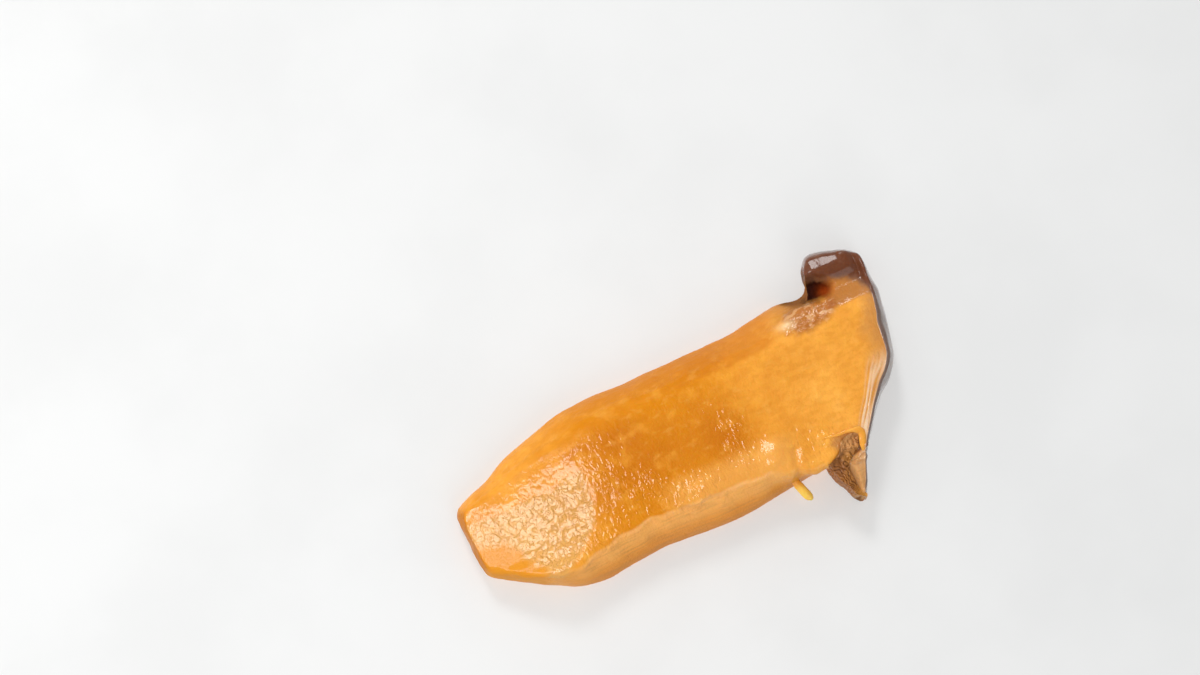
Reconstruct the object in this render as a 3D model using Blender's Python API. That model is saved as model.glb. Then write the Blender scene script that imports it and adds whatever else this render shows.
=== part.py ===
"""One lengthwise slice of a braised king oyster mushroom, lying on its wider cut face.

The mushroom is cut twice, parallel to its stem. The lower cut passes close to the stem's axis, so the
underside is the widest outline, and the stem's round side leans in from there up to the upper cut face.
The slice is lofted on ribs: each rib runs from a point of the near edge, over a spine, to a point of the
far edge. +X runs along the stem from its base to the cap, +Y to the far edge, and +Z up from the table.
"""

import bmesh
import bpy
import numpy as np

MM = 0.001

# The near edge, base to cap top, in millimetres: trimmed base, swollen stem, then the drooping cap margin.
NEAR_EDGE = [
    (-0.5, 1.0), (-0.3, -4.0), (0.0, -8.4), (1.4, -11.2), (6.0, -14.2), (12.0, -17.9),
    (18.0, -21.3), (24.0, -23.5), (30.0, -24.0), (37.0, -23.4), (44.0, -22.7), (51.0, -22.8),
    (58.0, -23.4), (65.0, -23.8), (72.0, -23.4), (79.0, -22.7), (85.0, -21.8), (90.0, -21.0),
    (93.2, -21.0), (93.8, -22.8), (94.6, -25.8), (95.8, -28.6), (96.6, -31.0), (98.2, -32.6),
    (99.9, -31.2), (101.3, -28.5), (102.7, -25.2), (104.6, -21.6), (107.1, -17.8), (110.1, -13.9),
    (113.9, -9.8), (118.0, -6.3), (120.6, -3.0), (122.2, 1.0), (123.4, 5.5), (124.4, 10.5),
]
# The far edge, base to cap top: one point for each point of the near edge, with the cap's rolled margin.
FAR_EDGE = [
    (-0.5, 1.0), (-0.6, 4.5), (-0.3, 7.4), (1.2, 9.3), (5.0, 10.8), (9.8, 12.5),
    (14.5, 14.8), (19.5, 16.9), (25.0, 18.6), (31.0, 20.2), (37.0, 21.4), (43.5, 21.8),
    (50.0, 21.5), (57.0, 21.3), (64.0, 21.3), (71.0, 21.4), (77.5, 21.4), (83.5, 21.7),
    (89.0, 22.3), (94.0, 23.2), (98.0, 23.6), (101.5, 23.2), (104.3, 22.8), (106.6, 23.2),
    (108.3, 25.0), (108.7, 27.6), (109.5, 30.0), (111.6, 32.0), (114.8, 31.8), (118.0, 30.8),
    (121.2, 29.6), (124.0, 27.8), (124.9, 25.0), (124.9, 21.5), (125.2, 17.5), (125.0, 14.0),
]
STATIONS = len(NEAR_EDGE)

THICKNESS = 13.0            # between the two cuts, in the middle of the stem
BASE_THICKNESS = 7.5        # at the trimmed base, where the knife ran out
CAP_THICKNESS = 11.5        # across the cap
WEDGE_END = 34.0            # X where the slice reaches its full thickness
CAP_START, CAP_END = 88.0, 118.0            # X over which it thins again toward the cap
GILL_LINE = [(91.0, -19.5), (98.5, -17.5), (104.5, -17.0), (106.5, -14.0)]  # the near margin's inner edge
GILL_DEPTH = 4.5            # how far the near margin and its gills lie below the cut face
POCKET = (109.0, 21.5)      # centre of the hollow between the stem and the rolled far margin
POCKET_RADIUS, POCKET_DEPTH = 5.5, 4.0
ROLL_START, ROLL_END = 23.0, 34.0           # Y over which the far margin rolls down
ROLL_DROP = 5.0

# How far the side leans in between the underside and the upper cut, as (station, millimetres).
NEAR_LEAN = [(0, 1.2), (5, 1.6), (6, 2.8), (7, 4.8), (9, 6.4), (15, 6.4), (16, 4.6), (17, 2.4), (18, 1.6),
             (28, 1.4), (32, 1.8), (35, 2.6)]
FAR_LEAN = [(0, 1.2), (3, 2.2), (6, 3.8), (10, 5.8), (19, 6.2), (22, 3.0), (25, 1.4), (30, 1.6),
            (33, 2.6), (35, 2.6)]
# The side's profile from the upper cut down, as (share of the lean, share of the height).
WALL_PROFILE = [(0.62, 0.84), (0.26, 0.55), (0.04, 0.25)]

TOP_SHARES = [0.0, 0.22, 0.44, 0.64, 0.82, 0.94, 1.0]      # the upper face's rings, spine to rim
SPINE_ENDS = (9.0, 112.0)   # X where the ribs of each end meet
FLOOR_INSETS = [0.4, 2.5]   # the underside's rings, in from the outline

# A torn strand of flesh on the near side, as (x, y, z, radius) along it.
STRAND = [(84.3, -18.0, 6.0, 1.7), (84.6, -21.5, 6.2, 1.5), (85.3, -24.0, 6.0, 1.2),
          (85.9, -25.6, 5.6, 0.9)]
STRAND_SIDES = 10

FLESH_COLOUR = (0.72, 0.34, 0.08, 1.0)


def clear_scene():
    for thing in list(bpy.data.objects):
        bpy.data.objects.remove(thing)


def smooth_step(value, low, high):
    """0 below low, 1 above high, and an S-curve between."""
    t = np.clip((value - low) / (high - low), 0.0, 1.0)
    return t * t * (3.0 - 2.0 * t)


def outline():
    """The underside's outline as a closed ring: out along the near edge and back along the far edge."""
    return np.array(NEAR_EDGE + FAR_EDGE[:0:-1], float)


def rib_partners():
    """For each point of the outline, the point at the other end of its rib."""
    near, far = np.array(NEAR_EDGE, float), np.array(FAR_EDGE, float)
    return np.concatenate([far, near[:0:-1]])


def lean():
    """The lean at each outline point."""
    station = np.arange(STATIONS)
    near = np.interp(station, *zip(*NEAR_LEAN))
    far = np.interp(station, *zip(*FAR_LEAN))
    return np.concatenate([near, far[:0:-1]])[:, None]


def upper_face(x, y):
    """Height of the upper cut: wedge at the base, thinner cap, low gill margin, pocket and far roll."""
    slope = (THICKNESS - BASE_THICKNESS) / WEDGE_END
    short = WEDGE_END - x
    wedge = slope * (np.sqrt(short**2 + 36.0) + short) / 2
    cap = (THICKNESS - CAP_THICKNESS) * smooth_step(x, CAP_START, CAP_END)
    line = np.interp(x, *zip(*GILL_LINE))
    margin = GILL_DEPTH * smooth_step(line - y, -1.0, 3.0) * smooth_step(x, 91.0, 93.5)
    away = np.hypot(x - POCKET[0], y - POCKET[1])
    pocket = POCKET_DEPTH * (1.0 - smooth_step(away, 0.0, POCKET_RADIUS))
    roll = ROLL_DROP * np.clip((y - ROLL_START) / (ROLL_END - ROLL_START), 0.0, 1.0) ** 2
    return THICKNESS - wedge - cap - margin - pocket - roll


def rings():
    """Closed rings of points: from the spine over the upper face, down the side and under to the spine."""
    edge = outline()
    middle = (edge + rib_partners()) / 2
    spine_x, spine_y = middle[:STATIONS].T.copy()
    middle[:, 0] = np.clip(middle[:, 0], *SPINE_ENDS)
    middle[:, 1] = np.interp(middle[:, 0], spine_x, spine_y)
    inward = (middle - edge) / np.linalg.norm(middle - edge, axis=1, keepdims=True)
    rim = edge + inward * lean()
    made = []
    for share in TOP_SHARES:
        plan = middle + (rim - middle) * share
        made.append(np.column_stack([plan, upper_face(plan[:, 0], plan[:, 1])]))
    rim_height = made[-1][:, 2]
    for lean_share, height_share in WALL_PROFILE:
        plan = edge + inward * lean() * lean_share
        made.append(np.column_stack([plan, rim_height * height_share]))
    for plan in [edge + inward * inset for inset in FLOOR_INSETS] + [middle]:
        made.append(np.column_stack([plan, np.zeros(len(plan))]))
    return made


def add_ring(mesh, points):
    return [mesh.verts.new(point * MM) for point in points]


def bridge(mesh, first, second):
    """Quads between two rings of the same length."""
    for i in range(len(first)):
        j = (i + 1) % len(first)
        mesh.faces.new((first[i], second[i], second[j], first[j]))


def slice_mesh():
    """The slice: rings bridged to each other, with the upper face and the underside zipped at the spine."""
    mesh = bmesh.new()
    made = [add_ring(mesh, points) for points in rings()]
    for first, second in zip(made, made[1:]):
        bridge(mesh, first, second)
    bmesh.ops.remove_doubles(mesh, verts=mesh.verts, dist=0.0001 * MM)
    bmesh.ops.recalc_face_normals(mesh, faces=mesh.faces)
    return mesh


def strand_mesh():
    """The torn strand: round sections along its path, with a rounded tip."""
    mesh = bmesh.new()
    turn = np.linspace(0.0, 2.0 * np.pi, STRAND_SIDES, endpoint=False)
    made = []
    for x, y, z, radius in STRAND:
        section = np.column_stack([x + radius * np.cos(turn), np.full(STRAND_SIDES, y),
                                   z + radius * np.sin(turn)])
        made.append(add_ring(mesh, section))
    for first, second in zip(made, made[1:]):
        bridge(mesh, first, second)
    x, y, z, radius = STRAND[-1]
    tip = mesh.verts.new(np.array((x + 0.3, y - radius, z)) * MM)
    for a, b in zip(made[-1], made[-1][1:] + made[-1][:1]):
        mesh.faces.new((a, b, tip))
    mesh.faces.new(made[0])
    bmesh.ops.recalc_face_normals(mesh, faces=mesh.faces)
    return mesh


def add_object(name, mesh):
    """Puts a bmesh into the scene."""
    data = bpy.data.meshes.new(name)
    mesh.to_mesh(data)
    mesh.free()
    made = bpy.data.objects.new(name, data)
    bpy.context.scene.collection.objects.link(made)
    return made


def flesh_material():
    material = bpy.data.materials.new("braised mushroom flesh")
    material.use_nodes = True
    shader = material.node_tree.nodes["Principled BSDF"]
    shader.inputs["Base Color"].default_value = FLESH_COLOUR
    shader.inputs["Roughness"].default_value = 0.35
    return material


def stand_on_origin(mushroom, others):
    """Moves everything so that the middle of the finished slice's underside is at the origin."""
    bpy.context.view_layer.update()
    finished = mushroom.evaluated_get(bpy.context.evaluated_depsgraph_get())
    corners = np.array(finished.bound_box)
    low, high = corners.min(0), corners.max(0)
    for thing in [mushroom] + others:
        thing.location = (-(low[0] + high[0]) / 2, -(low[1] + high[1]) / 2, -low[2])


def build():
    clear_scene()
    mushroom = add_object("mushroom_slice", slice_mesh())
    strand = add_object("strand_shape", strand_mesh())
    strand.hide_render = True
    strand.display_type = "WIRE"
    smooth = mushroom.modifiers.new("rounded flesh", "SUBSURF")
    smooth.levels = 1
    smooth.render_levels = 1
    join = mushroom.modifiers.new("torn strand", "BOOLEAN")
    join.operation = "UNION"
    join.solver = "EXACT"
    join.object = strand
    mushroom.data.materials.append(flesh_material())
    mushroom.data.shade_smooth()
    stand_on_origin(mushroom, [strand])


build()
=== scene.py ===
# %% [markdown]
# # A slice of braised king oyster mushroom
#
# The real thing is one piece of cooked mushroom: a fat stem, cut lengthwise, that widens into a small cap
# with a brown skin. Soy sauce has turned the flesh amber and left it wet. The lesson builds its shape as
# surfaces worked out with numpy, then its wet flesh, skin and gills as node materials, and ends with soft
# studio light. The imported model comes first, because it says where the slice lies and how large it is.

# %% The frame
import itertools

import bmesh
import bpy
import numpy as np
from mathutils import Matrix, Vector


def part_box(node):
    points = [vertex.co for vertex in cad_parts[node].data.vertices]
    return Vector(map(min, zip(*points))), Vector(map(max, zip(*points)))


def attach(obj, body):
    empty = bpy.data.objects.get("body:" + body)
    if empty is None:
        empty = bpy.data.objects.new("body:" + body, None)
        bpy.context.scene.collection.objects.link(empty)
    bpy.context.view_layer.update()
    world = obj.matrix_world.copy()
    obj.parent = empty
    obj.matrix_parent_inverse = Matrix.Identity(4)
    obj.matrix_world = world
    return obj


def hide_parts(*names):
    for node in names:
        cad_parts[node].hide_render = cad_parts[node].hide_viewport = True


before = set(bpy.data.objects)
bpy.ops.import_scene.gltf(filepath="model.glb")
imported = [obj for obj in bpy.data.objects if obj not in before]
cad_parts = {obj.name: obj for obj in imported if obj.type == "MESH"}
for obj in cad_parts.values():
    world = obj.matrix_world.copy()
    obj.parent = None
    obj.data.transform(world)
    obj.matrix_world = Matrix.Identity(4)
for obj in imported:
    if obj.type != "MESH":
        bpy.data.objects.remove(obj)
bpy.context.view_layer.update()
node_low, node_high = (np.array(corner) * 1000 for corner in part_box("mushroom_slice"))
print("the slice's box, in millimetres:", (node_high - node_low).round(1))

# %% [markdown]
# ## Drawing the outline
#
# Shapes are drawn in millimetres, with x along the stem from the trimmed base, and y across. The underside's
# outline is the widest one. It could be one closed curve, but the surface needs to know which point of the
# near edge faces which point of the far edge, so the two edges are drawn apart, point against point. A
# Catmull-Rom curve passes through all of them.

# %% The two edges
NEAR_EDGE = [
    (-0.5, 1.0), (-0.3, -4.0), (0.0, -8.4), (1.4, -11.2), (6.0, -14.2), (12.0, -17.9),
    (18.0, -21.3), (24.0, -23.5), (30.0, -24.0), (37.0, -23.4), (44.0, -22.7), (51.0, -22.8),
    (58.0, -23.4), (65.0, -23.8), (72.0, -23.4), (79.0, -22.7), (85.0, -21.8), (90.0, -21.0),
    (93.2, -21.0), (93.8, -22.8), (94.6, -25.8), (95.8, -28.6), (96.6, -31.0), (98.2, -32.6),
    (99.9, -31.2), (101.3, -28.5), (102.7, -25.2), (104.6, -21.6), (107.1, -17.8), (110.1, -13.9),
    (113.9, -9.8), (118.0, -6.3), (120.6, -3.0), (122.2, 1.0), (123.4, 5.5), (124.4, 10.5),
]
FAR_EDGE = [
    (-0.5, 1.0), (-0.6, 4.5), (-0.3, 7.4), (1.2, 9.3), (5.0, 10.8), (9.8, 12.5),
    (14.5, 14.8), (19.5, 16.9), (25.0, 18.6), (31.0, 20.2), (37.0, 21.4), (43.5, 21.8),
    (50.0, 21.5), (57.0, 21.3), (64.0, 21.3), (71.0, 21.4), (77.5, 21.4), (83.5, 21.7),
    (89.0, 22.3), (94.0, 23.2), (98.0, 23.6), (101.5, 23.2), (104.3, 22.8), (106.6, 23.2),
    (108.3, 25.0), (108.7, 27.6), (109.5, 30.0), (111.6, 32.0), (114.8, 31.8), (118.0, 30.8),
    (121.2, 29.6), (124.0, 27.8), (124.9, 25.0), (124.9, 21.5), (125.2, 17.5), (125.0, 14.0),
]
OUTLINE = np.array(NEAR_EDGE + FAR_EDGE[:0:-1])
LAST_STATION = (len(OUTLINE) - 1) / 2      # where the two edges meet again at the cap


def outline_at(place):
    """The closed outline at a place counted in points: the Catmull-Rom cubic of the four points around it."""
    base = np.floor(place).astype(int)
    t = (place - base)[..., None]
    a, b, c, d = (OUTLINE[(base + step) % len(OUTLINE)] for step in (-1, 0, 1, 2))
    return 0.5 * (2 * b + (c - a) * t + (2 * a - 5 * b + 4 * c - d) * t**2 + (3 * b - a - 3 * c + d) * t**3)


dense = outline_at(np.linspace(0, len(OUTLINE), 4000))
drawing_centre = (dense.min(0) + dense.max(0)) / 2
TO_ROW = np.append((node_low + node_high)[:2] / 2 - drawing_centre, 0.0)    # drawing to row frame
print("outline:", np.ptp(dense, axis=0).round(1), "mm, moved by", TO_ROW.round(2))

# %% [markdown]
# ## Small tools
#
# Three short functions do most of the work. An S-curve fades one thing into another. A table of a few values
# with S-curves between them says how a size changes along an edge. Gradient noise gives natural relief: it is
# computed for whole arrays of points at once, because a Python loop over vertices would take minutes.

# %% Easing, tables and noise
def fade(value, low, high):
    """0 below low, 1 above high, and the S-curve 3t^2 - 2t^3 between."""
    t = np.clip((value - low) / (high - low), 0.0, 1.0)
    return t * t * (3.0 - 2.0 * t)


def table(value, pairs):
    """A value read from (place, value) pairs, easing with an S-curve from each pair to the next."""
    places, values = np.array(pairs, float).T
    index = np.interp(value, places, np.arange(len(places)))
    low = np.minimum(index.astype(int), len(places) - 2)
    return values[low] + (values[low + 1] - values[low]) * fade(index - low, 0.0, 1.0)


def noise(points, cell, seed=0):
    """Gradient noise from about -1 to 1: each corner of a lattice of cells pulls by its own random direction,
    and the corners' pulls are blended with the quintic S-curve. cell is one size, or one for each axis."""
    directions = np.random.default_rng(seed).normal(size=(256, 3))
    directions /= np.linalg.norm(directions, axis=1, keepdims=True)
    place = points / np.asarray(cell, float)
    base = np.floor(place).astype(np.int64)
    inside = place - base
    ease = inside**3 * (inside * (inside * 6 - 15) + 10)
    total = np.zeros(place.shape[:-1])
    for corner in itertools.product((0, 1), repeat=3):
        key = (base + corner) * (73856093, 19349663, 83492791)
        pull = directions[(key[..., 0] ^ key[..., 1] ^ key[..., 2]) % 256]
        weight = np.where(corner, ease, 1 - ease).prod(-1)
        total += weight * ((inside - corner) * pull).sum(-1)
    return total * 1.6


def distance_to(x, y, path):
    """The shortest distance from each (x, y) to a path of straight pieces."""
    path = np.array(path, float)
    nearest = np.full(np.shape(x), np.inf)
    for (ax, ay), (bx, by) in zip(path, path[1:]):
        dx, dy = bx - ax, by - ay
        along = np.clip(((x - ax) * dx + (y - ay) * dy) / (dx * dx + dy * dy), 0.0, 1.0)
        nearest = np.minimum(nearest, np.hypot(x - ax - along * dx, y - ay - along * dy))
    return nearest


def region(x, y, corners, soft):
    """1 inside a closed shape with these corners and 0 outside, fading over soft on both sides of its border.
    A point is inside when a ray from it crosses the border an odd number of times."""
    inside = np.zeros(np.shape(x), bool)
    for (ax, ay), (bx, by) in zip(corners, corners[1:] + corners[:1]):
        if ay != by:
            inside ^= ((ay > y) != (by > y)) & (x < ax + (y - ay) * (bx - ax) / (by - ay))
    reach = distance_to(x, y, corners + corners[:1])
    return fade(np.where(inside, reach, -reach), -soft, soft)


sample = noise(np.random.default_rng(1).uniform(0, 50, (5000, 3)), 2.0)
print("noise runs from", sample.min().round(2), "to", sample.max().round(2))

# %% [markdown]
# ## The shape of the slice
#
# The knife went through twice. The lower cut lies flat. The upper cut is flat along the stem, but it runs out
# toward the base as a wedge, it is a little lower at the cap, and it drops at both ends of the cap: to the
# gills on the near side, and over the rolled margin on the far side. One function holds all of that, as a
# height over the drawing. Between the cuts is the stem's round side, which leans in as it rises.

# %% The upper cut as a height
THICKNESS, BASE_THICKNESS, CAP_THICKNESS = 13.0, 7.2, 11.8
WEDGE_LENGTH = 34.0
CROWN, DROOP, GILL_DEPTH, HOLLOW_DEPTH = 0.7, 3.4, 1.8, 4.2
FAR_CREASE, SHELF_START, SHELF_END, ROLL_START = 13.4, 15.4, 20.5, 26.8     # y of what crosses the far side
FACET_END = [       # (y, x) of the crease where the wedge starts
    (-21.0, 14.0), (-18.5, 21.0), (-14.0, 28.0), (-10.5, 32.0), (-6.5, 33.5), (-1.5, 34.0), (3.0, 34.5),
    (9.0, 33.0), (16.0, 30.0),
]
GILL_BED = [        # the near margin's opened gills
    (92.0, -23.0), (93.6, -22.0), (96.0, -21.0), (97.8, -19.8), (98.8, -18.6), (99.6, -17.2),
    (103.2, -17.0), (104.0, -18.2), (103.4, -21.0), (100.4, -22.2), (99.2, -24.0), (99.2, -27.0),
    (98.9, -30.0), (98.0, -34.0), (94.0, -34.0), (91.0, -26.0),
]
HOLLOW = [          # a wet hollow between the stem and the far margin
    (100.2, 23.2), (102.0, 21.2), (105.5, 20.0), (109.5, 19.6), (112.6, 20.2), (113.8, 22.0),
    (112.8, 24.2), (111.0, 25.4), (107.0, 25.8), (101.5, 24.8),
]
SWELLINGS = [       # x, y, two radii and height of the low swellings on the cut face
    (83.2, -11.8, 3.0, 3.4, 1.15), (80.5, -15.2, 2.4, 0.9, 0.30), (44.2, -8.8, 1.5, 1.3, 0.40),
    (41.2, -7.4, 1.0, 1.6, 0.30), (62.0, -13.8, 3.0, 2.2, 0.50),
]


def spot(x, y, at_x, at_y, long, wide):
    """A soft spot, 1 in its middle: e to the power of minus the squared distance, counted in two radii."""
    return np.exp(-(((x - at_x) / long) ** 2) - ((y - at_y) / wide) ** 2)


def softly_past(value, soft):
    """0 before 0 and the value itself after it, with a bend as wide as soft: (v + sqrt(v^2 + soft^2)) / 2."""
    return (np.sqrt(value**2 + soft**2) + value) / 2


def upper_cut(x, y):
    """Height of the upper cut over the drawing: the full thickness, less the wedge, the cap's thinning, the
    crown across the stem, the droop of the near margin, the gill bed, the far hollow, the slopes from the far
    crease and the roll of the far margin; plus soft swellings and waves."""
    wedge = (THICKNESS - BASE_THICKNESS) / WEDGE_LENGTH * softly_past(table(y, FACET_END) - x, 2.0)
    far_base = 0.17 * softly_past(y - 2.8, 1.8) * fade(46.0 - x, 0.0, 24.0)
    cap = (THICKNESS - CAP_THICKNESS) * fade(x, 88.0, 118.0)
    crown = CROWN * (y / 18.0) ** 2 * fade(108.0 - x, 0.0, 20.0)
    droop = DROOP * fade(-y, 15.0, 34.0) * fade(x, 94.0, 102.0)
    gills = GILL_DEPTH * region(x, y, GILL_BED, 0.8)
    hollow = HOLLOW_DEPTH * region(x, y, HOLLOW, 1.5)
    by_hollow = fade(x, 94.0, 99.0) * fade(112.5 - x, 0.0, 3.0)
    # Past a crease the flesh slopes down: gently above the hollow, and steeper but shorter beside the cap.
    far_slope = 0.38 * softly_past(np.minimum(y, 21.0) - FAR_CREASE, 1.5) * by_hollow
    by_shelf = fade(x, 109.5, 112.5) * fade(124.0 - x, 0.0, 2.0)
    far_slope += 0.53 * (softly_past(y - SHELF_START, 0.7) - softly_past(y - SHELF_END, 0.7)) * by_shelf
    far_slope -= 1.4 * fade(y, 21.6, 25.0) * fade(x, 107.0, 111.0) * fade(124.0 - x, 0.0, 4.0)
    # The far margin rolls down, less toward the cap's end, and once more at its very edge.
    roll = (0.36 - 0.24 * fade(x, 118.2, 119.2)) * softly_past(y - ROLL_START, 0.8) * fade(x, 104.0, 108.0)
    roll += 0.5 * softly_past(y - 30.6, 0.6)
    flat = np.stack([x, y, x * 0], -1)
    raised = 0.45 * noise(flat, 26.0, 3) + 0.12 * noise(flat, 9.5, 4)
    for at_x, at_y, long, wide, rise in SWELLINGS:
        raised = raised + rise * spot(x, y, at_x, at_y, long, wide)
    return THICKNESS - wedge - far_base - cap - crown - droop - gills - hollow - far_slope - roll + raised


print("height at the base, the middle and the cap:", upper_cut(np.array([2, 60, 118]), np.zeros(3)).round(1))

# %% [markdown]
# ## The slice as one surface
#
# The surface has two parameters. One goes round the outline. The other goes across: from the slice's middle
# line over the upper cut, round its edge, down the side, round the foot, and back to the middle line along
# the lower cut. Sculpting would give such a form too, but a formula can be changed and gives the same form
# each time. Points round the outline are spaced evenly by distance, so that the fine relief is even.

# %% Sections and their grid
AROUND = 420                # steps along each edge
TOP_ROWS, EDGE_ROWS, SIDE_ROWS, FOOT_ROWS, FLOOR_ROWS = 70, 8, 24, 6, 5
NEAR_LEAN = [       # (station, mm that the side leans in as it rises); below 0 the rim overhangs
    (0, 1.1), (5, 1.2), (6, 1.8), (7, 3.2), (8, 5.4), (10, 6.4), (14, 6.4), (15, 4.8), (16, 1.4),
    (17, -1.0), (18, -1.0), (19, 0.8), (24, 0.9), (28, 0.9), (32, 1.3), (35, 2.0), (36, 2.1),
]
FAR_LEAN = [
    (0, 1.1), (2, 1.8), (4, 2.6), (6, 3.6), (10, 5.6), (19, 6.0), (22, 3.2), (25, 1.3), (30, 1.1),
    (31, 1.6), (33, 2.2), (36, 2.1),
]
NEAR_EDGE_RADIUS = [(0, 0.7), (4, 1.6), (6, 2.0), (9, 2.4), (15, 2.6), (17, 2.2), (20, 0.8), (28, 0.7),
                    (36, 1.2)]
FAR_EDGE_RADIUS = [(0, 0.7), (3, 1.6), (6, 3.4), (10, 4.6), (19, 4.6), (23, 1.2), (30, 1.1), (36, 1.2)]
SIDE_CURVE = 1.8            # 1 is a straight side, and more is rounder
FOOT_RADIUS = 1.6
MIDDLE_ENDS = (9.0, 112.0)  # x where the middle line stops, at the base and at the cap


def even_stations(count):
    """Station numbers from the base to the cap, spaced so that both edges together advance evenly."""
    fine = np.linspace(0.0, LAST_STATION, 6000)
    edges = outline_at(fine), outline_at(len(OUTLINE) - fine)
    steps = sum(np.linalg.norm(np.diff(line, axis=0), axis=1) for line in edges)
    walked = np.concatenate([[0.0], np.cumsum(steps)])
    return np.interp(np.linspace(0.0, walked[-1], count + 1), walked, fine)


stations = even_stations(AROUND)
ring = np.concatenate([stations, len(OUTLINE) - stations[-2:0:-1]])         # places on the closed outline
partner = np.concatenate([len(OUTLINE) - stations, stations[-2:0:-1]])
is_near = np.arange(len(ring)) <= AROUND
station_of = np.where(is_near, ring, len(OUTLINE) - ring)
edge = outline_at(ring)
middle = (edge + outline_at(partner)) / 2
spine_x, spine_y = middle[:AROUND + 1].T.copy()
middle[:, 0] = np.clip(middle[:, 0], *MIDDLE_ENDS)
middle[:, 1] = np.interp(middle[:, 0], spine_x, spine_y)      # past its ends the ribs fan out from one point
inward = (middle - edge) / np.linalg.norm(middle - edge, axis=1, keepdims=True)


def by_side(near_pairs, far_pairs):
    """A value for each point of the ring, from one table for the near side and one for the far side."""
    return np.where(is_near, table(station_of, near_pairs), table(station_of, far_pairs))[:, None]


flat_edge = np.column_stack([edge, np.zeros(len(edge))])
uneven = 1 + 0.14 * noise(flat_edge, 9.0, 6) + 0.08 * noise(flat_edge, 3.5, 7)
lean = by_side(NEAR_LEAN, FAR_LEAN) * uneven[:, None]


def slice_grid():
    """The surface's points, ring by row, and for each row how far it is down the section (0 to 5).

    Upper cut: a straight rib at the cut's height. Edge: an arc that turns from level to the side's slope.
    Side: the lean times (share of height)^SIDE_CURVE. Foot: a quarter circle. Lower cut: a straight rib.
    """
    radius = by_side(NEAR_EDGE_RADIUS, FAR_EDGE_RADIUS)
    rim = edge + inward * lean
    rim_height = upper_cut(rim[:, :1], rim[:, 1:])
    turn = np.arctan2(rim_height, lean * SIDE_CURVE)
    shoulder = rim + inward * radius * np.sin(turn)
    pieces, marks = [], []

    def keep(plan, height, mark):
        pieces.append(np.concatenate([plan, np.broadcast_to(height, plan.shape[:1] + (1,))], 1))
        marks.append(mark)

    for share in np.linspace(0.0, 1.0, TOP_ROWS) ** 0.85:
        plan = middle + (shoulder - middle) * share
        keep(plan, upper_cut(plan[:, :1], plan[:, 1:]), share)
    for share in np.linspace(0.0, 1.0, EDGE_ROWS + 1)[1:]:
        plan = shoulder - inward * radius * np.sin(turn * share)
        drop = radius * (1 - np.cos(turn * share))
        keep(plan, upper_cut(plan[:, :1], plan[:, 1:]) - drop, 1 + share)
    side_top = rim_height - radius * (1 - np.cos(turn))
    for share in np.linspace(1.0, 0.0, SIDE_ROWS + 1)[1:]:
        height = FOOT_RADIUS + (side_top - FOOT_RADIUS) * share
        keep(edge + inward * lean * share**SIDE_CURVE, height, 3 - share)
    for share in np.linspace(0.0, np.pi / 2, FOOT_ROWS + 1)[1:]:
        keep(edge + inward * FOOT_RADIUS * (1 - np.cos(share)), FOOT_RADIUS * (1 - np.sin(share)),
             3 + share / (np.pi / 2))
    foot = edge + inward * FOOT_RADIUS
    for share in np.linspace(0.0, 1.0, FLOOR_ROWS + 1)[1:]:
        keep(foot + (middle - foot) * share, 0.0, 4 + share)
    return np.stack(pieces, 1), np.array(marks)


def grid_normals(grid):
    """Unit normals of a closed ring-by-row grid, from the cross product of its two directions."""
    along = np.roll(grid, -1, 0) - np.roll(grid, 1, 0)
    across = np.gradient(grid, axis=1)
    normal = np.cross(across, along)
    return normal / np.maximum(np.linalg.norm(normal, axis=2, keepdims=True), 1e-9)


plain, row_mark = slice_grid()
normals = grid_normals(plain)
print("grid:", plain.shape, "top normal:", normals[100, 30].round(2))

# %% [markdown]
# ## Where each kind of surface lies
#
# A mushroom slice has several surfaces: the cut faces, the stem's own side, the brown skin along the cap, the
# gills on both sides, and the trimmed base. Each gets a mask from 0 to 1, worked out from the same drawing,
# and so do the places where shade and highlights are painted into the colour.
# The masks steer the relief here, and they are stored in the mesh as attributes for the colours later.

# %% Outlines on the cut face
STRIP = [           # pale flesh between the gills and the skin
    (98.8, -21.6), (104.5, -21.8), (104.4, -24.0), (103.6, -27.5), (101.5, -31.0), (99.2, -35.0),
    (97.6, -34.5), (98.6, -30.0), (98.4, -25.0),
]
RECESS = [          # flesh above the gills, painted darker as shade
    (95.8, -16.8), (97.4, -15.4), (104.6, -15.2), (105.4, -17.0), (105.2, -21.0), (103.0, -22.2),
    (99.6, -21.2), (97.6, -19.6),
]
FACET = [           # the sloping base, shrunk like leather
    (0.6, 3.4), (10.0, 2.2), (20.0, 2.6), (25.0, 1.6), (30.0, 3.6), (34.5, 3.6), (34.0, -1.6), (33.5, -6.6),
    (32.0, -10.5), (28.0, -14.0), (22.0, -18.4), (14.0, -24.0), (-3.0, -16.0), (-3.0, 3.4),
]
CORNER = [          # a duller corner of the facet
    (-3.0, -3.6), (5.0, -4.4), (8.8, -6.2), (10.4, -9.0), (12.8, -13.0), (15.5, -17.0), (14.0, -22.0),
    (-3.0, -14.0),
]
SHELF = [           # flesh that slopes down toward the far margin
    (110.5, 15.6), (122.4, 15.4), (122.2, 18.6), (120.8, 21.8), (114.0, 25.4), (111.8, 23.0), (111.0, 20.0),
]
FAR_GILLS = [       # what the knife left of the gills beside the hollow
    (98.0, 14.0), (103.0, 12.4), (109.0, 13.4), (112.0, 15.2), (113.0, 18.0), (108.0, 20.4), (99.5, 20.2),
]
FAR_SKIN = [        # the skin where the far margin has rolled over
    (106.5, 27.0), (109.6, 26.0), (112.6, 24.4), (116.0, 22.8), (119.0, 21.8), (121.0, 20.2), (122.2, 17.4),
    (122.8, 14.6), (123.0, 10.0), (128.0, 10.0), (128.0, 36.0), (106.5, 36.0),
]
SKIN_WIDTH_NEAR = [(22, 0.1), (24, 0.6), (27, 0.6), (29, 0.3), (33, 0.5), (36, 0.9)]    # (station, mm)
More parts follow.
